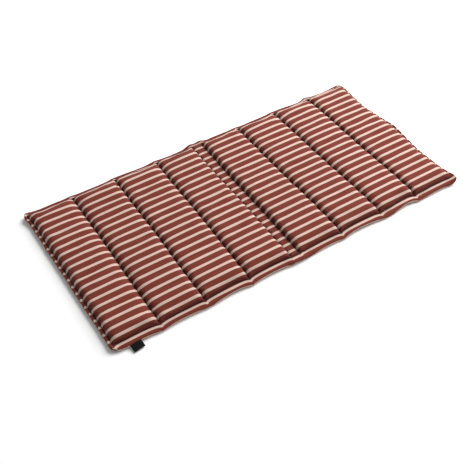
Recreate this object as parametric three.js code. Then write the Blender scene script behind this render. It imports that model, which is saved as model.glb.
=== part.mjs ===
// A quilted seat cushion that folds in two, lying open and flat.
//
// Two halves of four padded channels each lie either side of a narrow, thinly filled fold strip.
// The channels are flat on top and dip sharply to their seams, which run across the cushion and lean
// and sway a little, as hand-guided quilting does. A stitched lip closes the whole edge. It reaches
// furthest out at the seams, and between them the full channels draw it in and lift it. A folded
// woven tag is caught in the near lip.
// X runs along the cushion, Y across it towards the far long side, and Z is up from the surface
// that it lies on. Sizes are in millimetres.

import * as THREE from "three";

// The whole cushion at the ends of its seams, and how far it sits back from the origin, because
// the tag stands out on the near side.
const cushionLength = 1000;
const cushionWidth = 492;
const sitsBack = 6;
const cornerRadius = 16;

// The lip: its width and thickness, how high its outer edge and its stitch line run, the shares of
// its width where its rounded rim ends and its slope to the stitch line starts, and the power that
// makes the rim boxy. The end lips stand up, from a reach in, and both ends lie a little to the left.
const lipWidth = 8;
const lipThickness = 8;
const lipEdgeHeight = 4.3;
const lipStitchHeight = 7.4;
const lipRim = 0.5;
const lipSlope = 0.55;
const rimRoundness = 3;
const endRise = 3.5;
const endRiseReach = 24;
const endShift = { left: -1, right: -1.5 };

// The seams: the thickness of the two pressed covers, the height that their middle has at the two
// ends of the cushion, and how far they sway, each seam a little out of step with the last.
const seamThickness = 3;
const endSeamHeight = 11;
const seamSway = 0.8;
const swayLength = 300;
const swayPerSeam = 0.6;

// How far a channel's ends slope in from the lip and the power that makes them boxy, and how far its
// underside bulges below the seams before the surface flattens it. The fold strip is thinly filled.
const endSlope = 32;
const endRoundness = 3.2;
const undersideBulge = 13;
const stripBulge = 2;

// How far in from the edge the lip's own unevenness reaches, how much a drawn-in lip lifts, and how
// far the lip's rim and the channels' crowns wander, along waves that ripple faster on the rim.
const drawReach = 70;
const riseReach = 30;
const liftPerDraw = 0.45;
const seamRiseReach = 24;
const edgeWander = 0.6;
const crownWander = 0.5;
const ripples = 2;
const waves = [
  { alongX: 0.031, alongY: 0.017, start: 0.6 },
  { alongX: 0.013, alongY: -0.041, start: 2.1 },
];

// The right end's outline swings out and in: how far, over what length, and how much more it
// stands out at the near corner than at the far one.
const rightSwing = { out: 3.2, length: 265, skew: 3 };

// One row for each padded stretch from left to right. nearEnd and farEnd are where the seam on its
// right crosses the near and the far edge, seam is the height of that seam's middle, and crown is the
// height of the stretch's own top. The bends are how far from its left and right seam the top has
// come up by two thirds. The draws are how far it pulls the near and the far lip in, most at the
// share deepest of its width. The rises are how far the ends of its right seam stand up.
const lastSeam = cushionLength / 2 - lipWidth;
const stretches = [
  { name: "channel 1", nearEnd: -378.5, farEnd: -373.5, seam: 10.6, crown: 25.6,
    leftBend: 4.9, rightBend: 9.3, nearDraw: 4.5, farDraw: 2.5, deepest: 0.57, nearRise: 0, farRise: 1 },
  { name: "channel 2", nearEnd: -260.5, farEnd: -252.5, seam: 11.5, crown: 24.9,
    leftBend: 8.3, rightBend: 5.2, nearDraw: 3.7, farDraw: 4, deepest: 0.5, nearRise: 0, farRise: 1 },
  { name: "channel 3", nearEnd: -139.5, farEnd: -130, seam: 12.5, crown: 24.7,
    leftBend: 6.1, rightBend: 5.9, nearDraw: 6.2, farDraw: 4.5, deepest: 0.6, nearRise: 0, farRise: 1 },
  { name: "channel 4", nearEnd: -19, farEnd: -19, seam: 9.2, crown: 25.4,
    leftBend: 6.7, rightBend: 3.9, nearDraw: 4.8, farDraw: 3.5, deepest: 0.43, nearRise: 3.5,
    farRise: 6.5 },
  { name: "fold strip", nearEnd: 5.5, farEnd: 10.5, seam: 10.2, crown: 12.8,
    leftBend: 4, rightBend: 4, nearDraw: 0, farDraw: 0, deepest: 0.5, nearRise: 2.5, farRise: 6.5 },
  { name: "channel 5", nearEnd: 131, farEnd: 126, seam: 11.3, crown: 24.3,
    leftBend: 4.6, rightBend: 5.5, nearDraw: 3.4, farDraw: 1.5, deepest: 0.66, nearRise: 0,
    farRise: 1.5 },
  { name: "channel 6", nearEnd: 255.5, farEnd: 248, seam: 12.2, crown: 25.1,
    leftBend: 6.8, rightBend: 6.8, nearDraw: 6.3, farDraw: 2.5, deepest: 0.48, nearRise: 0,
    farRise: 1.5 },
  { name: "channel 7", nearEnd: 369.5, farEnd: 367, seam: 13.8, crown: 25.3,
    leftBend: 7.7, rightBend: 7.5, nearDraw: 7.2, farDraw: 6, deepest: 0.72, nearRise: 0,
    farRise: 4.5 },
  { name: "channel 8", nearEnd: lastSeam, farEnd: lastSeam, seam: endSeamHeight, crown: 24.4,
    leftBend: 5, rightBend: 5.9, nearDraw: 2, farDraw: 6, deepest: 0.46, nearRise: 0, farRise: 0 },
];

// The four corners by the signs of their x and y: how far each stands out and up, and from how far.
const cornerReach = 45;
const corners = [
  { name: "near left", x: -1, y: -1, out: -4, rise: 0 },
  { name: "far left", x: -1, y: 1, out: 3, rise: 6 },
  { name: "far right", x: 1, y: 1, out: -1.5, rise: 0.5 },
  { name: "near right", x: 1, y: -1, out: 3, rise: 3 },
];

// The tag: its width, how far it stands out, its thickness, its turn in plan and its droop, the x
// where it starts, and its gap to the lip.
const tagWidth = 28;
const tagReach = 18;
const tagThickness = 1.4;
const tagTurn = THREE.MathUtils.degToRad(7);
const tagDroop = THREE.MathUtils.degToRad(4);
const tagStart = -466;
const tagGap = 0.4;
const tagSteps = 6;

// Where the mesh has its lines, as shares of a channel, shares of the fold strip, distances in from
// the outer edge of the lip, and distances in from the lip's stitch line.
const channelLines = [0.016, 0.042, 0.08, 0.14, 0.27, 0.5, 0.73, 0.86, 0.92, 0.958, 0.984];
const stripLines = [0.12, 0.35, 0.65, 0.88];
const lipLines = [0, 0.9, 3.6, 6.2, lipWidth];
const slopeLines = [2, 6, 13, 24, 42, 74, 120, 178];

const halfLength = cushionLength / 2;
const halfWidth = cushionWidth / 2;
const foldIndex = stretches.findIndex((stretch) => stretch.name === "fold strip");

const { lerp, smoothstep } = THREE.MathUtils;

// A weight that falls smoothly from 1 to 0 as a distance grows to its reach.
const fade = (distance, reach) => 1 - smoothstep(distance, 0, reach);

// A gentle, repeatable unevenness between -1 and 1, from slanting waves over the plan.
const wander = (x, y) =>
  waves.reduce((sum, { alongX, alongY, start }) => sum + Math.sin(x * alongX + y * alongY + start), 0)
  / waves.length;

// The x of a seam at a place across the cushion. Seam 0 is the left end's stitch line.
function seamAt(seam, y) {
  if (seam === 0) return -lastSeam;
  const { nearEnd, farEnd } = stretches[seam - 1];
  const sway = Math.sin((2 * Math.PI * y) / swayLength + seam * swayPerSeam);
  const isEnd = seam === stretches.length;
  return lerp(nearEnd, farEnd, (y + halfWidth) / cushionWidth) + (isEnd ? 0 : seamSway * sway);
}

// How full a stretch is at a share of its width in millimetres: from 0 at its seams to 1 between them.
function fullness({ leftBend, rightBend }, share, width) {
  return (1 - Math.exp((-share * width) / leftBend)) * (1 - Math.exp(((share - 1) * width) / rightBend));
}

// How full a channel is at a distance in from the lip's stitch line, where it slopes down to it.
function endFullness(inward) {
  const short = 1 - Math.min(1, Math.max(0, inward) / endSlope);
  return (1 - short ** endRoundness) ** (1 / endRoundness);
}

// How far a stretch draws the near or the far lip in: nothing at its seams, most between them.
function drawnIn(stretch, share, y) {
  const { nearDraw, farDraw, deepest } = stretches[stretch];
  const bend = Math.log(0.5) / Math.log(deepest);
  return (y > 0 ? farDraw : nearDraw) * Math.sin(Math.PI * share ** bend);
}

// How far the ends of the seams lift the near or the far lip at an x.
function seamRise(x, y) {
  return stretches.reduce((sum, { nearRise, farRise }, stretch) => {
    const distance = Math.abs(x - seamAt(stretch + 1, y));
    return sum + (y > 0 ? farRise : nearRise) * fade(distance, seamRiseReach);
  }, 0);
}

// How far the right end swings out at a place across the cushion.
function swingAt(y) {
  const wave = Math.cos((2 * Math.PI * y) / rightSwing.length);
  return rightSwing.out * wave - (rightSwing.skew * y) / halfWidth;
}

// Every line of the mesh along X: the stretch that it is in, its share of that stretch, and how far
// in from the outer edge it lies if it is on an end lip.
function acrossLines() {
  const lines = lipLines.slice(0, -1).map((inset) => ({ stretch: 0, share: 0, inset }));
  stretches.forEach((_, stretch) => {
    lines.push({ stretch, share: 0, inset: lipWidth });
    const shares = stretch === foldIndex ? stripLines : channelLines;
    for (const share of shares) lines.push({ stretch, share, inset: lipWidth });
  });
  const last = stretches.length - 1;
  for (const inset of [...lipLines].reverse()) lines.push({ stretch: last, share: 1, inset });
  return lines;
}

// Every line of the mesh along Y, from the near edge to the far one.
function alongLines() {
  const near = [...lipLines, ...slopeLines.map((inward) => lipWidth + inward)];
  const lower = near.map((inset) => inset - halfWidth);
  return [...lower, 0, ...[...lower].reverse().map((y) => -y)];
}

// Rounds the plan's corners: a square corner of the mesh is drawn in to a quarter disc.
function roundCorner(x, y) {
  const across = (Math.abs(x) - (halfLength - cornerRadius)) / cornerRadius;
  const along = (Math.abs(y) - (halfWidth - cornerRadius)) / cornerRadius;
  if (across <= 0 || along <= 0) return { x, y };
  const roundX = across * Math.sqrt(1 - (along * along) / 2);
  const roundY = along * Math.sqrt(1 - (across * across) / 2);
  return {
    x: Math.sign(x) * (halfLength - cornerRadius + cornerRadius * roundX),
    y: Math.sign(y) * (halfWidth - cornerRadius + cornerRadius * roundY),
  };
}

// Half the thickness at a distance in from the outer edge: a flattened roll, then the stitch line.
function halfThickness(inset) {
  const roll = Math.min(1, inset / (lipWidth * lipRim));
  const rounded = (lipThickness / 2) * (1 - (1 - roll) ** rimRoundness) ** (1 / rimRoundness);
  return lerp(rounded, seamThickness / 2, smoothstep(inset, lipWidth * lipSlope, lipWidth));
}

// The top and the underside of the cushion at one crossing of the mesh's lines, and the middle
// height between the two covers there.
function crossing(line, y) {
  const insetY = halfWidth - Math.abs(y);
  const leftSeam = seamAt(line.stretch, y);
  const width = seamAt(line.stretch + 1, y) - leftSeam;
  let x = leftSeam + width * line.share;
  if (line.inset < lipWidth) x = Math.sign(x) * (halfLength - line.inset);
  const insetX = halfLength - Math.abs(x);
  const inset = Math.min(line.inset < lipWidth ? line.inset : insetX, insetY);
  const draw = drawnIn(line.stretch, line.share, y);
  const swing = x > 0 ? swingAt(y) : 0;

  const plan = roundCorner(x, y);
  const unevenness = edgeWander * wander(x * ripples, y * ripples);
  plan.x += (swing + (x > 0 ? endShift.right : endShift.left) + unevenness) * fade(insetX, drawReach);
  plan.y -= (Math.sign(y) * draw - unevenness) * fade(insetY, drawReach);

  const sideLift = (liftPerDraw * draw + seamRise(x, y)) * fade(insetY, riseReach);
  const endLift = liftPerDraw * swing * fade(insetX, riseReach) + endRise * fade(insetX, endRiseReach);
  let lift = sideLift + endLift + unevenness;
  for (const corner of corners) {
    const distance = Math.hypot(x - corner.x * halfLength, y - corner.y * halfWidth);
    const weight = fade(distance, cornerReach);
    lift += corner.rise * weight;
    plan.x += corner.x * corner.out * weight;
    plan.y += corner.y * corner.out * weight;
  }
  const leftHeight = line.stretch ? stretches[line.stretch - 1].seam : endSeamHeight;
  const stretch = stretches[line.stretch];
  const flat = inset < lipWidth
    ? lerp(lipEdgeHeight, lipStitchHeight, inset / lipWidth)
    : lerp(lipStitchHeight, lerp(leftHeight, stretch.seam, line.share),
      smoothstep(inset, lipWidth, lipWidth + endSlope));
  const middle = flat + lift * fade(inset, riseReach);
  const half = halfThickness(inset);

  const isStrip = line.stretch === foldIndex;
  const full = line.inset < lipWidth
    ? 0
    : fullness(stretch, line.share, width) * endFullness(insetY - lipWidth);
  const crown = stretch.crown + crownWander * wander(x, y) + (isStrip ? lift : 0);
  const top = middle + half + Math.max(0, crown - middle - half) * full;
  const under = Math.max(0, middle - half - (isStrip ? stripBulge : undersideBulge) * full);
  return { x: plan.x, y: plan.y, top, under, middle };
}

// A closed solid from a grid of crossings: a top and an underside that share their outer ring.
function closedShell(columns, rows) {
  const lastColumn = columns.length - 1;
  const lastRow = rows.length - 1;
  const points = [];
  const add = (x, y, z) => points.push(x, y, z) / 3 - 1;
  const upper = columns.map(() => []);
  const lower = columns.map(() => []);
  columns.forEach((line, i) => {
    rows.forEach((y, j) => {
      const place = crossing(line, y);
      const onRing = i === 0 || j === 0 || i === lastColumn || j === lastRow;
      upper[i].push(add(place.x, place.y, onRing ? place.middle : place.top));
      lower[i].push(onRing ? upper[i][j] : add(place.x, place.y, place.under));
    });
  });
  const faces = [];
  for (let i = 0; i < lastColumn; i++) {
    for (let j = 0; j < lastRow; j++) {
      const [a, b, c, d] = [upper[i][j], upper[i + 1][j], upper[i + 1][j + 1], upper[i][j + 1]];
      const [e, f, g, h] = [lower[i][j], lower[i + 1][j], lower[i + 1][j + 1], lower[i][j + 1]];
      // The diagonals run out to the four corners, so that no triangle has only ring points.
      const turned = i < lastColumn / 2 !== j < lastRow / 2;
      if (turned) faces.push(a, b, d, b, c, d, e, h, f, f, h, g);
      else faces.push(a, b, c, a, c, d, e, g, f, e, h, g);
    }
  }
  const geometry = new THREE.BufferGeometry();
  geometry.setAttribute("position", new THREE.Float32BufferAttribute(points, 3));
  geometry.setIndex(faces);
  geometry.computeVertexNormals();
  return geometry;
}

function makeCushion() {
  const cover = new THREE.MeshStandardMaterial({ color: 0x94423a, roughness: 0.92, metalness: 0 });
  const cushion = new THREE.Mesh(closedShell(acrossLines(), alongLines()), cover);
  cushion.name = "cushion";
  return cushion;
}

// The outer edge of the near lip at an x.
function nearLip(x) {
  const stretch = stretches.findIndex((_, index) => x < seamAt(index + 1, -halfWidth));
  const startX = seamAt(stretch, -halfWidth);
  const share = (x - startX) / (seamAt(stretch + 1, -halfWidth) - startX);
  return crossing({ stretch, share, inset: lipWidth }, -halfWidth);
}

// A woven tag folded in two: a thin slab whose inner edge follows the lip. It is drawn round the
// middle of that edge, turned a little in plan, and droops from there.
function makeTag() {
  const middleX = tagStart + tagWidth / 2;
  const root = nearLip(middleX);
  const lipEdge = [];
  for (let step = 0; step <= tagSteps; step++) {
    const x = tagStart + (tagWidth * Math.cos(tagTurn) * step) / tagSteps;
    lipEdge.push(new THREE.Vector2(x - middleX, nearLip(x).y - tagGap - root.y));
  }
  const outward = new THREE.Vector2(Math.sin(tagTurn), -Math.cos(tagTurn)).multiplyScalar(tagReach);
  const along = new THREE.Vector2(Math.cos(tagTurn), Math.sin(tagTurn)).multiplyScalar(tagWidth);
  const outerStart = lipEdge[0].clone().add(outward);
  const shape = new THREE.Shape([...lipEdge, outerStart.clone().add(along), outerStart]);
  const geometry = new THREE.ExtrudeGeometry(shape, { depth: tagThickness, bevelEnabled: false });
  const cloth = new THREE.MeshStandardMaterial({ color: 0x101114, roughness: 0.7, metalness: 0 });
  const tag = new THREE.Mesh(geometry, cloth);
  tag.name = "tag";
  tag.position.set(middleX, root.y, root.middle - tagThickness / 2);
  tag.rotation.x = tagDroop;
  return tag;
}

const part = new THREE.Group();
part.add(makeCushion(), makeTag());
part.position.y = sitsBack;
export default part;
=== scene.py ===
# A quilted, striped seat cushion that folds in two, lying open on a pale studio floor.

import math
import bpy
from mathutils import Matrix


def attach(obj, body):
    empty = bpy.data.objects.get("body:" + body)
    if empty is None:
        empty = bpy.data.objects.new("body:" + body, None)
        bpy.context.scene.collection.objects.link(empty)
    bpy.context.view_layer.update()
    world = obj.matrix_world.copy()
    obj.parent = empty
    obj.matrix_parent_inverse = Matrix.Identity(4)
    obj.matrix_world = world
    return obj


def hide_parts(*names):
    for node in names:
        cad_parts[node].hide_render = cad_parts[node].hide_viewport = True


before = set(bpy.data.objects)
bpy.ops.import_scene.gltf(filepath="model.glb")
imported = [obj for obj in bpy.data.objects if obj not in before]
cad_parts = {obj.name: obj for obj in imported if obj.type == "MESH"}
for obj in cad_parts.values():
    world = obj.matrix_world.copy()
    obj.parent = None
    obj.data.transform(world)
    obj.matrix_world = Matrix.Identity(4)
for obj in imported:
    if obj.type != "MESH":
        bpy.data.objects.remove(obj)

from types import SimpleNamespace

import bpy
import numpy as np
from mathutils import Matrix, Vector

mm = 0.001  # the forms below are worked out in millimetres and made in metres
scene = bpy.context.scene
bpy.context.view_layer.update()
print("frame loaded")


# nodes, for materials and for stitches alike

class Wire:  # one output of a node; sums on it add Math nodes
    def __init__(self, tree, socket=None):
        self.tree = tree
        self.socket = socket

    # a node of any type: its settings come first, then the values or links of its sockets
    def node(self, kind, settings=None, sockets=None, output=0):
        made = self.tree.nodes.new(kind)
        for name, value in (settings or {}).items():
            setattr(made, name, value)
        for name, value in (sockets or {}).items():
            if isinstance(value, Wire):
                self.tree.links.new(value.socket, made.inputs[name])
            else:
                made.inputs[name].default_value = value
        return Wire(self.tree, made.outputs[output] if len(made.outputs) else None)

    def beside(self, name):  # another output of the same node
        return Wire(self.tree, self.socket.node.outputs[name])

    def maths(self, operation, *values):
        return self.node("ShaderNodeMath", {"operation": operation}, dict(enumerate(values)))

    def __add__(self, other):
        return self.maths("ADD", self, other)

    def __sub__(self, other):
        return self.maths("SUBTRACT", self, other)

    def __rsub__(self, other):
        return self.maths("SUBTRACT", other, self)

    def __mul__(self, other):
        return self.maths("MULTIPLY", self, other)

    __radd__ = __add__
    __rmul__ = __mul__

    def fold(self, pitch):  # up from 0 to 1 and down again in every pitch
        return self.maths("PINGPONG", self, pitch / 2) * (2 / pitch)

    def rise(self, low, high):  # 0 below low, 1 above high, smooth between
        return self.node(
            "ShaderNodeMapRange",
            {"interpolation_type": "SMOOTHSTEP"},
            {"Value": self, "From Min": low, "From Max": high},
        )


def blend(share, first, second):  # two colours, on the sockets that a Mix node has for colours
    sockets = {0: share, 6: first, 7: second}
    return share.node("ShaderNodeMix", {"data_type": "RGBA"}, sockets, output=2)


def newMaterial(name, colour):
    material = bpy.data.materials.new(name)
    material.use_nodes = True
    material.node_tree.nodes.clear()
    material.diffuse_color = (*colour, 1)
    return material, Wire(material.node_tree)


def finishMaterial(wire, sockets):
    shader = wire.node("ShaderNodeBsdfPrincipled", None, sockets)
    wire.node("ShaderNodeOutputMaterial", None, {"Surface": shader})


def newObject(name, data):
    made = bpy.data.objects.new(name, data)
    scene.collection.objects.link(made)
    return made


def shadeSmooth(mesh):
    mesh.polygons.foreach_set("use_smooth", np.ones(len(mesh.polygons), bool))


# camera: it looks down at the cushion from the near left, from where the photo's outline fits

shot = {
    "azimuth": -32.751,  # degrees from straight on, less than 0 to the left
    "elevation": 47.331,
    "distance": 2.0664,  # metres
    "slide": (-0.0324, -0.0836),  # to the right and up, across the line of sight
    "lens": 62.33,
    "sensor": 36,
}


def makeCamera(sitsBack):
    turn, tilt = math.radians(shot["azimuth"]), math.radians(shot["elevation"])
    back = Vector((
        math.sin(turn) * math.cos(tilt),
        -math.cos(turn) * math.cos(tilt),
        math.sin(tilt),
    ))
    right = Vector((math.cos(turn), math.sin(turn), 0))
    up = back.cross(right)
    slideRight, slideUp = shot["slide"]
    place = back * shot["distance"] + right * slideRight + up * slideUp
    place += Vector((0, sitsBack * mm, 0))
    data = bpy.data.cameras.new("camera")
    data.lens = shot["lens"]
    data.sensor_width = shot["sensor"]
    camera = newObject("camera", data)
    turned = Matrix((right, up, back)).transposed()
    camera.matrix_world = Matrix.Translation(place) @ turned.to_4x4()
    scene.camera = camera


# studio: a white floor, an even pale sky and one broad soft light from beyond the far right

studio = {
    "floorSize": 12,  # metres, as all here
    "floorDrop": 0.0002,  # keeps it clear of the flat underside
    "floorColour": (0.93, 0.93, 0.93),
    "floorRoughness": 0.9,
    "sky": 0.4,
    "lampPlace": (2.4, 0.8, 2.1),
    "lampWidth": 3.2,
    "lampPower": 235,
}


def makeFloor():
    size = studio["floorSize"] / 2
    corners = [(x * size, y * size, -studio["floorDrop"]) for x, y in ((-1, -1), (1, -1), (1, 1), (-1, 1))]
    mesh = bpy.data.meshes.new("floor")
    mesh.from_pydata(corners, [], [(0, 1, 2, 3)])
    material, wire = newMaterial("floor", studio["floorColour"])
    finishMaterial(wire, {
        "Base Color": (*studio["floorColour"], 1),
        "Roughness": studio["floorRoughness"],
    })
    mesh.materials.append(material)
    return newObject("floor", mesh)


def makeStudio():
    floor = makeFloor()

    world = bpy.data.worlds.new("sky")
    world.use_nodes = True
    background = world.node_tree.nodes["Background"]
    background.inputs["Color"].default_value = (1, 1, 1, 1)
    background.inputs["Strength"].default_value = studio["sky"]
    scene.world = world

    data = bpy.data.lights.new("key", "AREA")
    data.size = studio["lampWidth"]
    data.energy = studio["lampPower"]
    lamp = newObject("key", data)
    lamp.location = studio["lampPlace"]
    lamp.rotation_mode = "QUATERNION"
    lamp.rotation_quaternion = Vector(studio["lampPlace"]).to_track_quat("Z", "Y")
    scene.view_settings.view_transform = "Standard"


# the cushion's form, in millimetres

cushion = {
    "length": 1000,
    "width": 492,
    "sitsBack": 6,  # how far it lies back from the origin, as the tag stands out in front
    "cornerRadius": 24,
    "fill": 0.55,
    # the lip: a round rim that thins towards its stitch line
    "lipWidth": 8,  # on both ends and the far side
    "nearLipWidth": 15.4,
    "lipThickness": 7.4,
    "lipEdgeHeight": 4,
    "lipStitchHeight": 8.1,
    "lipSag": 1.5,
    "lipRim": 0.5,  # share of the lip's width that its round rim takes
    "lipSlope": 0.3,  # share where it starts to thin towards its stitch line
    "lipOut": (1.5, 3),  # how far the near and the far rim lie beyond the plan
    "rimRoundness": 3,
    "rimSeamAbove": 2.1,  # how far the covers' edges meet above the rim's middle
    # the seams across, and the crease that the thread pulls in along every stitch line
    "seamThickness": 3,
    "endSeamHeight": 11,
    "seamSway": 0.8,
    "swayLength": 300,
    "swayPerSeam": 0.6,
    "creaseDepth": 1.9,
    "creaseWidth": 1.5,
    "paintedShadeWidth": 3.6,  # how far the painted shade along the stitch lines reaches; the next, on the lips
    "lipPaintedShadeWidth": 1.2,
    # the channels and the fold strip
    "endSlope": 32,  # over how far a seam climbs from the lip's height to its own
    "endBend": 7.7,
    "undersideBulge": 13,
    "stripBulge": 2,
    "crownWander": 0.5,
    # how the rims are drawn in, wander and stand up
    "drawReach": 70,
    "riseReach": 30,
    "liftPerDraw": 0.45,
    "endRise": 3.5,  # how far the end lips stand up
    "endRiseReach": 24,
    "endShift": (-1, -1.5),  # of the left and the right end
    "seamRiseReach": 24,
    "edgeWander": 0.6,
    "ripples": 2,
    "waves": [(0.031, 0.017, 0.6), (0.013, -0.041, 2.1)],  # along X, along Y, start
    "swing": (3.2, 265, 3),  # of the right end: how far, over what length, its skew
}

# the channels and the fold strip from left to right: where the seam on its right meets the near and
# the far edge, how high that seam and its crown are, over how far it bends up from both seams, how
# far it draws the near and far lip in, where most, and how far its right seam's ends stand up
stretchColumns = (
    "nearEnd", "farEnd", "seamHeight", "crown", "leftBend", "rightBend",
    "nearDraw", "farDraw", "deepest", "nearRise", "farRise",
)
stretchRows = [
    (-378.5, -373.5, 10.6, 25.6, 4.9, 9.3, 4.5, 2.5, 0.57, 0, 1),
    (-260.5, -252.5, 11.5, 24.9, 8.3, 5.2, 3.7, 4, 0.5, 0, 1),
    (-139.5, -130, 12.5, 24.7, 6.1, 5.9, 6.2, 4.5, 0.6, 0, 1),
    (-19, -19, 9.2, 25.4, 6.7, 3.9, 4.8, 3.5, 0.43, 3.5, 6.5),
    (5.5, 10.5, 10.2, 12.8, 4, 4, 0, 0, 0.5, 2.5, 6.5),  # the fold strip
    (131, 126, 11.3, 24.3, 4.6, 5.5, 3.4, 1.5, 0.66, 0, 1.5),
    (255.5, 248, 12.2, 25.1, 6.8, 6.8, 6.3, 2.5, 0.48, 0, 1.5),
    (369.5, 367, 13.8, 25.3, 7.7, 7.5, 7.2, 6, 0.72, 0, 4.5),
    (492, 492, 11, 24.4, 5, 5.9, 2, 6, 0.46, 0, 0),
]
stretches = dict(zip(stretchColumns, np.array(stretchRows, float).T))
foldStrip = 4
lastSeam = len(stretchRows)  # the right end's stitch line, as seam 0 is the left end's

# spots of the rim that lie further out or stand up: which side each way, how far out along X and
# along Y, rise, reach
spots = [
    (-1, -1, 3, -6, 0, 45),
    (-1, 1, 7, 2.5, 3, 45),
    (1, 1, -2.5, -2, 0.5, 45),
    (1, -1, 3, 3, 3, 45),
    (1, 0, 1.5, 0, 2.5, 80),  # the middle of the right end
]

halfLength = cushion["length"] / 2
halfWidth = cushion["width"] / 2
lip = cushion["lipWidth"]
nearLip = cushion["nearLipWidth"]


def smooth(value, low, high):
    share = np.clip((value - low) / (high - low), 0, 1)
    return share * share * (3 - 2 * share)


def fade(distance, reach):  # from 1 at no distance to 0 at its reach
    return 1 - smooth(distance, 0, reach)


def wander(x, y):
    waves = [np.sin(x * alongX + y * alongY + start) for alongX, alongY, start in cushion["waves"]]
    return sum(waves) / len(waves)


def seamAt(seam, y):  # its x there
    near = np.concatenate(([lip - halfLength], stretches["nearEnd"]))[seam]
    far = np.concatenate(([lip - halfLength], stretches["farEnd"]))[seam]
    straight = near + (far - near) * (y + halfWidth) / cushion["width"]
    sway = np.sin(2 * np.pi * y / cushion["swayLength"] + seam * cushion["swayPerSeam"])
    isEnd = (seam == 0) | (seam == lastSeam)
    return straight + np.where(isEnd, 0, cushion["seamSway"]) * sway


def roundCorners(x, y):  # draws the plan's square corners in to quarter discs
    radius = cushion["cornerRadius"]
    startX, startY = halfLength - radius, halfWidth - radius
    across = (np.abs(x) - startX) / radius
    along = (np.abs(y) - startY) / radius
    inCorner = (across > 0) & (along > 0)
    roundX = startX + radius * across * np.sqrt(1 - np.clip(along, 0, 1) ** 2 / 2)
    roundY = startY + radius * along * np.sqrt(1 - np.clip(across, 0, 1) ** 2 / 2)
    return np.where(inCorner, np.sign(x) * roundX, x), np.where(inCorner, np.sign(y) * roundY, y)


# where the mesh's lines cross on a plain plan; a line's place counts stretches from the left end's
# stitch line, and on an end lip its inset is how far in from the end it is
def crossings(places, insets, rows):
    place, inset, y = places[:, None], insets[:, None], rows[None, :]
    at = SimpleNamespace()
    at.stretch = np.minimum(place.astype(int), lastSeam - 1)
    at.share = place - at.stretch
    at.width = seamAt(at.stretch + 1, y) - seamAt(at.stretch, y)
    at.onEndLip = inset < lip
    x = seamAt(at.stretch, y) + at.width * at.share
    at.x = np.where(at.onEndLip, np.sign(x) * (halfLength - inset), x)
    at.y = y + 0 * x
    at.isFar = at.y > 0
    at.isStrip = at.stretch == foldStrip
    at.column = {name: values[at.stretch] for name, values in stretches.items()}

    # how far in from the ends, from the long sides and from the nearest rim; on the near side that
    # is scaled to the width of the other lips
    at.insetX = halfLength - np.abs(at.x)
    insetY = halfWidth - np.abs(at.y)
    nearInset = np.where(insetY < nearLip, insetY * lip / nearLip, insetY - nearLip + lip)
    at.insetY = np.where(at.y < 0, nearInset, insetY)
    at.inward = np.minimum(np.where(at.onEndLip, inset, at.insetX), at.insetY)
    return at


# the plan as it really lies, and how far its rims are lifted
def uneven(at):
    bend = np.log(0.5) / np.log(at.column["deepest"])
    depth = np.where(at.isFar, at.column["farDraw"], at.column["nearDraw"])
    draw = depth * np.sin(np.pi * at.share**bend)
    out, length, skew = cushion["swing"]
    swing = out * np.cos(2 * np.pi * at.y / length) - skew * at.y / halfWidth
    swing = np.where(at.x > 0, swing, 0)
    rippled = wander(at.x * cushion["ripples"], at.y * cushion["ripples"])
    stray = cushion["edgeWander"] * rippled

    leftShift, rightShift = cushion["endShift"]
    shift = np.where(at.x > 0, rightShift, leftShift)
    nearOut, farOut = cushion["lipOut"]
    beyond = np.where(at.isFar, farOut, nearOut) * np.clip(1 - at.insetY / lip, 0, 1)
    planX, planY = roundCorners(at.x, at.y)
    planX = planX + (swing + shift + stray) * fade(at.insetX, cushion["drawReach"])
    planY = planY - (np.sign(at.y) * draw - stray) * fade(at.insetY, cushion["drawReach"])
    planY = planY + np.sign(at.y) * beyond

    rise = 0
    for seam, ends in enumerate(zip(stretches["nearRise"], stretches["farRise"]), 1):
        distance = np.abs(at.x - seamAt(seam, at.y))
        rise = rise + np.where(at.isFar, ends[1], ends[0]) * fade(distance, cushion["seamRiseReach"])
    lift = (cushion["liftPerDraw"] * draw + rise) * fade(at.insetY, cushion["riseReach"])
    lift += cushion["liftPerDraw"] * swing * fade(at.insetX, cushion["riseReach"]) + stray
    lift += cushion["endRise"] * fade(at.insetX, cushion["endRiseReach"])
    for sideX, sideY, outX, outY, up, reach in spots:
        weight = fade(np.hypot(at.x - sideX * halfLength, at.y - sideY * halfWidth), reach)
        lift = lift + up * weight
        planX = planX + sideX * outX * weight
        planY = planY + sideY * outY * weight
    return planX, planY + cushion["sitsBack"], lift


# the two covers where no filling parts them: the height halfway between, and half their thickness
def flatForm(at, lift):
    edge, stitchLine = cushion["lipEdgeHeight"], cushion["lipStitchHeight"]
    heights = np.concatenate(([cushion["endSeamHeight"]], stretches["seamHeight"]))
    seam = heights[at.stretch] + (heights[at.stretch + 1] - heights[at.stretch]) * at.share
    middle = np.where(
        at.inward < lip,
        edge + (stitchLine - edge) * (at.inward / lip) ** cushion["lipSag"],
        stitchLine + (seam - stitchLine) * smooth(at.inward, lip, lip + cushion["endSlope"]),
    )
    middle = middle + lift * fade(at.inward, cushion["riseReach"])
    roll = np.clip(at.inward / (lip * cushion["lipRim"]), 0, 1)
    power = cushion["rimRoundness"]
    rounded = cushion["lipThickness"] / 2 * (1 - (1 - roll) ** power) ** (1 / power)
    thin = smooth(at.inward, lip * cushion["lipSlope"], lip)
    return middle, rounded + (cushion["seamThickness"] / 2 - rounded) * thin


# how full the stretches are, from 0 at their stitch lines to 1, with and without their ends' bend
def fullness(at):
    between = 1 - np.exp(-at.share * at.width / at.column["leftBend"])
    between = between * (1 - np.exp((at.share - 1) * at.width / at.column["rightBend"]))
    atEnds = 1 - np.exp(-np.maximum(at.insetY - lip, 0) / cushion["endBend"])
    return np.where(at.onEndLip, 0, between * atEnds), between


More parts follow.
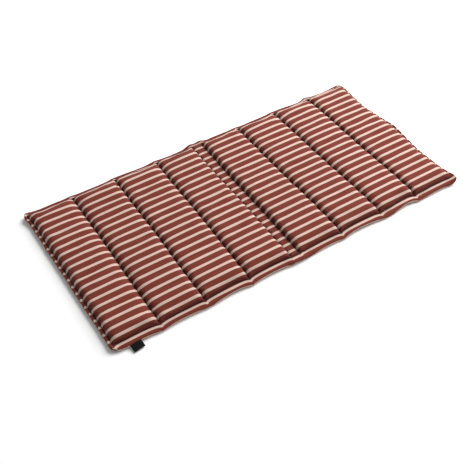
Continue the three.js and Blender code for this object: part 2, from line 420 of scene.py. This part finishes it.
def toStitchLine(at):
    toSeam = np.where(at.onEndLip, lip, np.minimum(at.share, 1 - at.share) * at.width)
    return np.where(at.inward < lip, lip - at.inward, np.minimum(toSeam, at.inward - lip))


# the top and the underside, the height where they meet at the rim, how near each point is to a seam, and
# how much painted shade darkens the cloth there
def cushionForm(places, insets, rows):
    at = crossings(places, insets, rows)
    planX, planY, lift = uneven(at)
    middle, half = flatForm(at, lift)
    full, between = fullness(at)
    toStitch = toStitchLine(at)

    crown = at.column["crown"] + cushion["crownWander"] * wander(at.x, at.y)
    crown = crown + np.where(at.isStrip, lift, 0)
    top = middle + half + np.maximum(0, crown - middle - half) * full
    top = top - cushion["creaseDepth"] * np.exp(-toStitch / cushion["creaseWidth"])
    bulge = np.where(at.isStrip, cushion["stripBulge"], cushion["undersideBulge"])
    under = np.maximum(0, middle - half - bulge * full)
    # painted shade: the cloth is darkest at the stitch lines and lightens away from them
    paintedShadeWidth = np.where(at.inward < lip, cushion["lipPaintedShadeWidth"], cushion["paintedShadeWidth"])
    return SimpleNamespace(
        top=np.stack([planX, planY, top], -1),
        under=np.stack([planX, planY, under], -1),
        rim=middle + cushion["rimSeamAbove"],
        seamward=np.where(at.isStrip, 1, 1 - between),
        paintedShade=np.exp(-toStitch / paintedShadeWidth),
    )


# the mesh's lines, closest where the cloth bends most; each gap is halved once for the final cover
meshLines = {
    "channel": [0, 0.004, 0.018, 0.045, 0.085, 0.15, 0.28],  # shares of its width, to its middle
    "strip": [0, 0.06, 0.2, 0.35, 0.5, 0.65, 0.8, 0.94],
    "lip": [0, 0.3, 1.1, 2.4, 4.2, 5.9, 7.2],  # insets
    "slope": [0, 0.9, 2.6, 5, 8.5, 13, 18, 24, 31, 38.5],  # distances in from the stitch line
    "rowPitch": 6.9,  # about, from one slope to the other
}


def lineColumns():  # their places and insets, as crossings reads them
    onLip, start = meshLines["lip"], meshLines["channel"]
    channel = start + [0.5] + [1 - share for share in start[:0:-1]]
    places = [0] * len(onLip)
    insets = list(onLip)
    for stretch in range(lastSeam):
        shares = meshLines["strip"] if stretch == foldStrip else channel
        places += [stretch + share for share in shares]
        insets += [lip] * len(shares)
    places += [lastSeam] * (len(onLip) + 1)
    insets += [lip] + onLip[::-1]
    return np.array(places, float), np.array(insets, float)


def sideRows(width):  # from a long side's rim almost to the middle, for a lip of that width
    insets = [inset * width / lip for inset in meshLines["lip"]]
    insets += [width + distance for distance in meshLines["slope"]]
    rest = halfWidth - insets[-1]
    count = round(rest / meshLines["rowPitch"])
    insets += [insets[-1] + rest * step / count for step in range(1, count)]
    return [halfWidth - inset for inset in insets]


def halved(values):
    finer = np.empty(2 * len(values) - 1)
    finer[::2] = values
    finer[1::2] = (values[1:] + values[:-1]) / 2
    return finer


def onSeam(places):
    return np.isclose(places, np.round(places))


def outerRing(shape):
    ring = np.ones(shape, bool)
    ring[1:-1, 1:-1] = False
    return ring


def cellCorners(grid):  # the values at the four corners of every cell
    return np.stack([grid[:-1, :-1], grid[1:, :-1], grid[1:, 1:], grid[:-1, 1:]], -1)


# a closed shell of a top and an underside that share their outer ring; it comes with the numbers
# of the points on its top and on its underside
def shellMesh(name, top, under, rim):
    ring = outerRing(rim.shape)
    top = top.copy()
    top[..., 2] = np.where(ring, rim, top[..., 2])
    upper = np.arange(rim.size).reshape(rim.shape)
    lower = upper.copy()
    lower[~ring] = rim.size + np.arange((~ring).sum())
    points = np.concatenate([top.reshape(-1, 3), under[~ring]]) * mm
    faces = np.concatenate([
        cellCorners(upper).reshape(-1, 4),
        cellCorners(lower)[..., ::-1].reshape(-1, 4),
    ])
    mesh = bpy.data.meshes.new(name)
    mesh.vertices.add(len(points))
    mesh.vertices.foreach_set("co", points.ravel())
    mesh.loops.add(faces.size)
    mesh.loops.foreach_set("vertex_index", faces.ravel())
    mesh.polygons.add(len(faces))
    mesh.polygons.foreach_set("loop_start", np.arange(0, faces.size, 4))
    shadeSmooth(mesh)
    mesh.update(calc_edges=True)
    mesh.validate()
    return mesh, upper, lower


# puckers along the seams, from cloth that is simulated over a draft of the form

puckers = {
    "pressure": 4,
    "excess": 0.035,  # how much more cloth there is than the form needs
    "frames": 20,
    "quality": 4,
    "mass": 0.2,
    "stiffness": 12,
    "bending": 0.12,
    "smoothRows": 9,  # rows of the draft over which the simulated swelling is taken out again
    "share": 0.45,  # of what is left then
    "most": 2.2,
}
lineSlack = 0.1  # less than any gap between the mesh's lines


# what the threads and the floor hold: the lips, the seams, the fold strip and the underside
def heldPoints(places, insets, rows):
    between = (rows > nearLip - halfWidth + lineSlack) & (rows < halfWidth - lip - lineSlack)
    isStrip = places.astype(int) == foldStrip
    wholeLine = (insets < lip) | onSeam(places) | isStrip
    return wholeLine[:, None] | ~between[None, :]


def runCloth(draft):  # the draft's points when the simulation ends
    modifier = draft.modifiers.new("cloth", "CLOTH")
    cloth = modifier.settings
    cloth.vertex_group_mass = "held"
    cloth.quality = puckers["quality"]
    cloth.mass = puckers["mass"]
    cloth.tension_stiffness = puckers["stiffness"]
    cloth.compression_stiffness = puckers["stiffness"]
    cloth.shear_stiffness = puckers["stiffness"]
    cloth.bending_stiffness = puckers["bending"]
    cloth.use_pressure = True
    cloth.uniform_pressure_force = puckers["pressure"]
    cloth.shrink_min = -puckers["excess"]
    cloth.effector_weights.gravity = 0
    modifier.collision_settings.use_collision = False
    modifier.point_cache.frame_end = puckers["frames"]
    for frameNumber in range(1, puckers["frames"] + 1):
        scene.frame_set(frameNumber)
    solved = draft.evaluated_get(bpy.context.evaluated_depsgraph_get())
    points = np.empty(len(draft.data.vertices) * 3)
    solved.data.vertices.foreach_get("co", points)
    return points.reshape(-1, 3)


def simulatePuckers(places, insets, rows):  # how far they move the top's points
    form = cushionForm(places, insets, rows)
    mesh, upper, lower = shellMesh("draft", form.top, form.under, form.rim)
    draft = newObject("draft", mesh)
    held = heldPoints(places, insets, rows)
    pins = draft.vertex_groups.new(name="held")
    pins.add(upper[held].tolist() + lower[1:-1, 1:-1].ravel().tolist(), 1, "REPLACE")
    moved = runCloth(draft)[upper] / mm - form.top
    moved[outerRing(held.shape)] = 0
    bpy.data.objects.remove(draft)
    scene.frame_set(1)

    # the swelling goes, because the form has it already, and the puckers stay
    span = puckers["smoothRows"]
    padded = np.pad(moved, ((0, 0), (span // 2, span // 2), (0, 0)), mode="edge")
    swelling = sum(padded[:, step:step + moved.shape[1]] for step in range(span)) / span
    moved = (moved - swelling) * puckers["share"]
    moved[held] = 0
    far = np.linalg.norm(moved, axis=-1, keepdims=True)
    print("puckers up to", round(float(far.max()), 2), "mm, mean", round(float(far.mean()), 3))
    return moved * np.minimum(1, puckers["most"] / np.maximum(far, puckers["most"] / 2))


def halvedSmooth(values):  # along the first axis, on a curve through the values that are there
    ends = np.concatenate([values[:1], values, values[-1:]])
    finer = np.empty((2 * len(values) - 1, *values.shape[1:]))
    finer[::2] = values
    finer[1::2] = (9 * (ends[1:-2] + ends[2:-1]) - ends[:-3] - ends[3:]) / 16
    return finer


# the cover: striped twill on cloth coordinates, in millimetres

cover = {
    "stripePitch": 23.25,
    "creamWidth": 7.1,
    "creamAt": -8,
    "undersideCream": 3.4,  # its distance from the near rim
    "ease": [(-1, 1.7, 170), (1, 7, 219)],  # near and far: how far the last stripes sit inwards
    "seamShrink": 0.007,
    "red": (0.165, 0.0275, 0.0155),
    "cream": (0.62, 0.45, 0.38),
    "paintedShadeColour": (0.012, 0.002, 0.001),  # painted shade: between the yarns and down in the folds
    "yarnPitch": 1.1,
    "floatPitch": 0.75,  # share of the yarns' own
    "floatSlant": 0.5,
    "floatDepth": 0.45,
    "stripeTooth": 0.35,
    "stripeBlur": 0.015,
    "relief": 0.16,
    "reliefStrength": 0.7,
    # how dark the painted shade between the twill's ribs is
    "ribPaintedShade": 0.1,
    "yarnShade": 0.06,
    "yarnStretch": (0.05, 1.3, 1),
    "yarnRange": (0.3, 0.75),
    "cloudShade": 0.04,
    "cloudScale": 13,
    "cloudRange": (0.35, 0.7),
    "paintedFoldShade": (0.28, 0.52),  # painted shade in the folds: on the cream stripes, and how much more on the red ones
    "roughness": 0.92,
    "specular": 0.2,
    "sheen": 0.06,
    "sheenRoughness": 0.5,
}


def makeCoverMaterial():
    material, wire = newMaterial("cover", cover["red"])
    place = wire.node("ShaderNodeUVMap", {"uv_map": "cloth"})
    u = wire.node("ShaderNodeSeparateXYZ", None, {0: place})
    v = u.beside("Y")

    # twill: slanting ribs, broken up into single floats of yarn
    rib = (u + v).fold(cover["yarnPitch"])
    floats = (u - v * cover["floatSlant"]).fold(cover["yarnPitch"] * cover["floatPitch"])
    twill = rib * (floats * cover["floatDepth"] + (1 - cover["floatDepth"]))

    fromCream = (v + rib * cover["stripeTooth"] - cover["creamAt"]).fold(cover["stripePitch"])
    half = cover["creamWidth"] / cover["stripePitch"]
    isRed = fromCream.rise(half - cover["stripeBlur"], half + cover["stripeBlur"])
    colour = blend(isRed, (*cover["cream"], 1), (*cover["red"], 1))

    # yarns differ a little in tone and the whole cloth has faint broad clouds; painted shade darkens the
    # gaps between the twill's ribs and the folds along the stitch lines
    yarnPlace = wire.node(
        "ShaderNodeVectorMath", {"operation": "MULTIPLY"}, {0: place, 1: cover["yarnStretch"]}
    )
    yarnTone = wire.node("ShaderNodeTexNoise", None, {"Vector": yarnPlace, "Scale": 1, "Detail": 1})
    solidPlace = wire.node("ShaderNodeTexCoord", output="Object")
    cloud = wire.node(
        "ShaderNodeTexNoise", None, {"Vector": solidPlace, "Scale": cover["cloudScale"], "Detail": 2}
    )
    # the painted shade along the stitch lines, as the mesh carries it
    paintedShadeMask = wire.node("ShaderNodeAttribute", {"attribute_name": "paintedShade"}, output="Fac")
    onCream, moreOnRed = cover["paintedFoldShade"]
    toneAndPaintedShade = (1 - twill) * cover["ribPaintedShade"]
    toneAndPaintedShade = toneAndPaintedShade + yarnTone.rise(*cover["yarnRange"]) * cover["yarnShade"]
    toneAndPaintedShade = toneAndPaintedShade + cloud.rise(*cover["cloudRange"]) * cover["cloudShade"]
    toneAndPaintedShade = toneAndPaintedShade + paintedShadeMask * (isRed * moreOnRed + onCream)
    colour = blend(toneAndPaintedShade, colour, (*cover["paintedShadeColour"], 1))
    bump = wire.node("ShaderNodeBump", None, {
        "Height": twill,
        "Strength": cover["reliefStrength"],
        "Distance": cover["relief"] * mm,
    })
    finishMaterial(wire, {
        "Base Color": colour,
        "Roughness": cover["roughness"],
        "Specular IOR Level": cover["specular"],
        "Sheen Weight": cover["sheen"],
        "Sheen Roughness": cover["sheenRoughness"],
        "Normal": bump,
    })
    return material


# how far across the cloth each point lies, over its own surface from the middle row
def acrossCloth(surface, seamward, centre):
    gaps = np.linalg.norm(np.diff(surface, axis=1), axis=-1)
    arc = np.concatenate([np.zeros((len(surface), 1)), np.cumsum(gaps, axis=1)], axis=1)
    across = (arc - arc[:, centre:centre + 1]) * (1 + cover["seamShrink"] * seamward)
    for side, amount, start in cover["ease"]:
        across = across + side * amount * smooth(side * across, start, halfWidth)
    return across


def addClothMaps(mesh, form, centre):  # the coordinates on both faces, and the folds' painted shade
    along = cellCorners(form.top[..., 0])
    upper = acrossCloth(form.top, form.seamward, centre)
    lower = acrossCloth(form.under, form.seamward, centre)
    lower = lower + cover["creamAt"] - cover["undersideCream"] - lower[:, 0].mean()
    upperMap = np.stack([along, cellCorners(upper)], -1)
    lowerMap = np.stack([along, cellCorners(lower)], -1)[..., ::-1, :]
    layer = mesh.uv_layers.new(name="cloth")
    layer.data.foreach_set("uv", np.concatenate([upperMap, lowerMap]).ravel())
    # the painted shade along the stitch lines, for the cover's material
    paintedShades = mesh.attributes.new("paintedShade", "FLOAT", "POINT")
    inside = ~outerRing(form.paintedShade.shape)
    paintedShades.data.foreach_set("value", np.concatenate([form.paintedShade.ravel(), form.paintedShade[inside]]))


# where the threads run on a face: along every seam between the lips, and round along the lips
def threadPaths(surface, places, insets):
    first = 2 * len(meshLines["lip"])
    last = surface.shape[1] - 1 - first
    left, *seams, right = np.flatnonzero(onSeam(places) & (insets >= lip))
    paths = [surface[seam, first:last + 1] for seam in seams]
    paths.append(np.concatenate([
        surface[left:right, first], surface[right, first:last],
        surface[right:left:-1, last], surface[left, last:first - 1:-1],
    ]))
    return paths


def makeCover():  # with its near rim's x, y and height, and the threads' paths
    places, insets = lineColumns()
    near, far = sideRows(nearLip), sideRows(lip)
    rows = np.array([-y for y in near] + [0] + far[::-1], float)
    moved = 0
    moved = simulatePuckers(places, insets, rows)
    moved = halvedSmooth(halvedSmooth(moved).transpose(1, 0, 2)).transpose(1, 0, 2)
    places, insets, rows = halved(places), halved(insets), halved(rows)
    form = cushionForm(places, insets, rows)
    shaped = form.top + moved
    mesh, *_ = shellMesh("cover", shaped, form.under, form.rim)
    addClothMaps(mesh, form, 2 * len(near))
    mesh.materials.append(makeCoverMaterial())
    nearRim = np.concatenate([form.top[:, 0, :2], form.rim[:, :1]], -1)
    nearRim = nearRim[np.argsort(nearRim[:, 0])].T
    threads = threadPaths(shaped, places, insets) + threadPaths(form.under, places, insets)
    return newObject("cover", mesh), nearRim, threads


stitch = {
    "pitch": 4.2,
    "length": 3.3,
    "thickness": 0.75,
    "sides": 6,
    "arcSteps": 4,
    "above": 0.35,  # how far over a path a stitch's middle lies
    "sink": 0.35,  # how far its ends go down from there
    "colour": (0.14, 0.03, 0.02),
    "roughness": 0.6,
    "sheen": 0.2,
}


# Geometry Nodes lay one short thread at every pitch along the paths
def makeStitchTree():
    tree = bpy.data.node_groups.new("stitches", "GeometryNodeTree")
    tree.interface.new_socket("Geometry", in_out="INPUT", socket_type="NodeSocketGeometry")
    for name in ("Pitch", "Length", "Thickness", "Sink"):
        tree.interface.new_socket(name, in_out="INPUT", socket_type="NodeSocketFloat")
    tree.interface.new_socket("Thread", in_out="INPUT", socket_type="NodeSocketMaterial")
    tree.interface.new_socket("Geometry", in_out="OUTPUT", socket_type="NodeSocketGeometry")
    given = tree.nodes.new("NodeGroupInput")
    asked = {socket.name: Wire(tree, socket) for socket in given.outputs if socket.name}
    wire = Wire(tree)
    paths = wire.node("GeometryNodeMeshToCurve", None, {"Mesh": asked["Geometry"]})
    points = wire.node(
        "GeometryNodeCurveToPoints", {"mode": "LENGTH"}, {"Curve": paths, "Length": asked["Pitch"]}
    )
    turn = wire.node(
        "FunctionNodeAlignRotationToVector", {"axis": "X"}, {"Vector": points.beside("Tangent")}
    )

    # one stitch: an arc that rises between its two ends, as a closed round thread
    half, low = asked["Length"] * 0.5, asked["Sink"] * -1
    left, right = [
        wire.node("ShaderNodeCombineXYZ", None, {"X": half * side, "Z": low}) for side in (-1, 1)
    ]
    over = wire.node("ShaderNodeCombineXYZ", None, {"Z": asked["Sink"]})
    arc = wire.node("GeometryNodeCurveQuadraticBezier", None, {
        "Resolution": stitch["arcSteps"], "Start": left, "Middle": over, "End": right,
    })
    section = wire.node(
        "GeometryNodeCurvePrimitiveCircle",
        {"mode": "RADIUS"},
        {"Resolution": stitch["sides"], "Radius": asked["Thickness"] * 0.5},
    )
    thread = wire.node(
        "GeometryNodeCurveToMesh", None, {"Curve": arc, "Profile Curve": section, "Fill Caps": True}
    )
    laid = wire.node(
        "GeometryNodeInstanceOnPoints", None, {"Points": points, "Instance": thread, "Rotation": turn}
    )
    real = wire.node("GeometryNodeRealizeInstances", None, {"Geometry": laid})
    coloured = wire.node("GeometryNodeSetMaterial", None, {"Geometry": real, "Material": asked["Thread"]})
    wire.node("NodeGroupOutput", None, {"Geometry": coloured})
    return tree


def makeThreadMaterial():
    material, wire = newMaterial("thread", stitch["colour"])
    finishMaterial(wire, {
        "Base Color": (*stitch["colour"], 1),
        "Roughness": stitch["roughness"],
        "Sheen Weight": stitch["sheen"],
    })
    return material


def makeStitches(threads):
    points, edges = [], []
    for thread in threads:
        start = len(points)
        points += ((thread + (0, 0, stitch["above"])) * mm).tolist()
        edges += [(start + step, start + step + 1) for step in range(len(thread) - 1)]
    paths = bpy.data.meshes.new("paths")
    paths.from_pydata(points, edges, [])
    made = newObject("stitches", paths)
    tree = makeStitchTree()
    modifier = made.modifiers.new("stitches", "NODES")
    modifier.node_group = tree
    given = {name: stitch[name.lower()] * mm for name in ("Pitch", "Length", "Thickness", "Sink")}
    given["Thread"] = makeThreadMaterial()
    for item in tree.interface.items_tree:
        if item.in_out == "INPUT" and item.name in given:
            modifier[item.identifier] = given[item.name]
    solved = made.evaluated_get(bpy.context.evaluated_depsgraph_get())
    mesh = bpy.data.meshes.new_from_object(solved)
    made.modifiers.clear()
    made.data = mesh
    mesh.name = "stitches"
    shadeSmooth(mesh)
    return made


# the tag: bare woven tape folded in two, its ends caught between the two covers at the near rim

tag = {
    "start": -461,
    "width": 28,
    "reach": 17.5,
    "turn": 4,  # degrees, seen from above
    "droop": 13,
    "skew": 1.5,  # how far its outer edge lies to the right of its root
    "hidden": 2.5,  # length between the covers
    "thickness": 0.5,
    "gapAtRoot": 0.15,
    "gapAtFold": 0.7,
    "curl": 0.8,
    "steps": 14,
    "layerSteps": 12,
    "foldSteps": 8,
    "colour": (0.004, 0.004, 0.0045),
    "roughness": 0.8,
    "specular": 0.1,
    "ribPitch": 0.55,
    "ribWander": 0.4,
    "ribRelief": 0.1,
    "ribStrength": 0.4,
}
waveLength = 0.314  # about, of a Wave texture whose scale is 1


def tagSection():  # round the folded tape seen from its side: how far out, how high
    reach, thickness = tag["reach"], tag["thickness"]
    out = np.linspace(-tag["hidden"], reach, tag["layerSteps"] + 1)
    gap = tag["gapAtRoot"] + (tag["gapAtFold"] - tag["gapAtRoot"]) * smooth(out, 0, reach)
    layer = np.stack([out, (gap + thickness) / 2], -1)
    angles = np.linspace(0, np.pi, tag["foldSteps"] + 1)[1:-1]
    radius = layer[-1, 1]
    fold = np.stack([reach + radius * np.sin(angles), radius * np.cos(angles)], -1)
    centre = np.concatenate([layer, fold, layer[::-1] * (1, -1)])
    direction = np.gradient(centre, axis=0)
    direction /= np.linalg.norm(direction, axis=1)[:, None]
    normal = np.stack([-direction[:, 1], direction[:, 0]], -1) * thickness / 2
    return np.concatenate([centre + normal, (centre - normal)[::-1]])


def tagFaces(lines, count):  # along the tape's lines, and across its two cut edges
    index = np.arange(lines * count).reshape(lines, count)
    turned = np.roll(index, -1, axis=1)
    faces = [np.stack([index[:-1], index[1:], turned[1:], turned[:-1]], -1).reshape(-1, 4)]
    cut = np.arange(count // 2 - 1)
    for end, order in ((index[0], 1), (index[-1], -1)):
        caps = np.stack([end[cut], end[cut + 1], end[count - 2 - cut], end[count - 1 - cut]], -1)
        faces.append(caps[:, ::order])
    return np.concatenate(faces)


def makeTagMaterial():
    material, wire = newMaterial("tag", tag["colour"])
    place = wire.node("ShaderNodeTexCoord", output="Object")
    ribs = wire.node("ShaderNodeTexWave", {"wave_type": "BANDS", "bands_direction": "X"}, {
        "Vector": place,
        "Scale": waveLength / (tag["ribPitch"] * mm),
        "Distortion": tag["ribWander"],
    }, output="Fac")
    bump = wire.node("ShaderNodeBump", None, {
        "Height": ribs,
        "Strength": tag["ribStrength"],
        "Distance": tag["ribRelief"] * mm,
    })
    finishMaterial(wire, {
        "Base Color": (*tag["colour"], 1),
        "Roughness": tag["roughness"],
        "Specular IOR Level": tag["specular"],
        "Normal": bump,
    })
    return material


def makeTag(rimX, rimY, rimHeight):
    section = tagSection()
    away, lift = section[:, 0], section[:, 1]
    outward = np.clip(away / tag["reach"], 0, 1)
    droop, turn = math.radians(tag["droop"]), math.radians(tag["turn"])
    along = np.linspace(0, 1, tag["steps"] + 1)
    x = tag["start"] + tag["width"] * along
    root = np.interp(x, rimX, rimY)[:, None]
    height = np.interp(x, rimX, rimHeight)[:, None] - tag["thickness"]

    points = np.empty((len(along), len(section), 3))
    points[..., 0] = x[:, None] + tag["skew"] * away / tag["reach"]
    points[..., 1] = root - away * math.cos(droop) + lift * math.sin(droop)
    points[..., 1] += (x - x.mean())[:, None] * math.tan(turn) * outward
    bend = tag["curl"] * np.sin(np.pi * along)[:, None] * outward
    points[..., 2] = height - np.maximum(away, 0) * math.sin(droop) + lift + bend
    faces = tagFaces(len(along), len(section))
    mesh = bpy.data.meshes.new("tag")
    mesh.from_pydata((points.reshape(-1, 3) * mm).tolist(), [], faces.tolist())
    shadeSmooth(mesh)
    mesh.validate()
    mesh.materials.append(makeTagMaterial())
    return newObject("foldedTag", mesh)


makeCamera(cushion["sitsBack"])
makeStudio()
print("camera and studio ready")
piece, rim, threads = makeCover()
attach(piece, "root")
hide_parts("cushion")
print("cover", len(piece.data.polygons))

piece = makeStitches(threads)
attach(piece, "root")
print("stitches", len(piece.data.polygons))

piece = makeTag(*rim)
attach(piece, "root")
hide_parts("tag")
print("tag", len(piece.data.polygons))
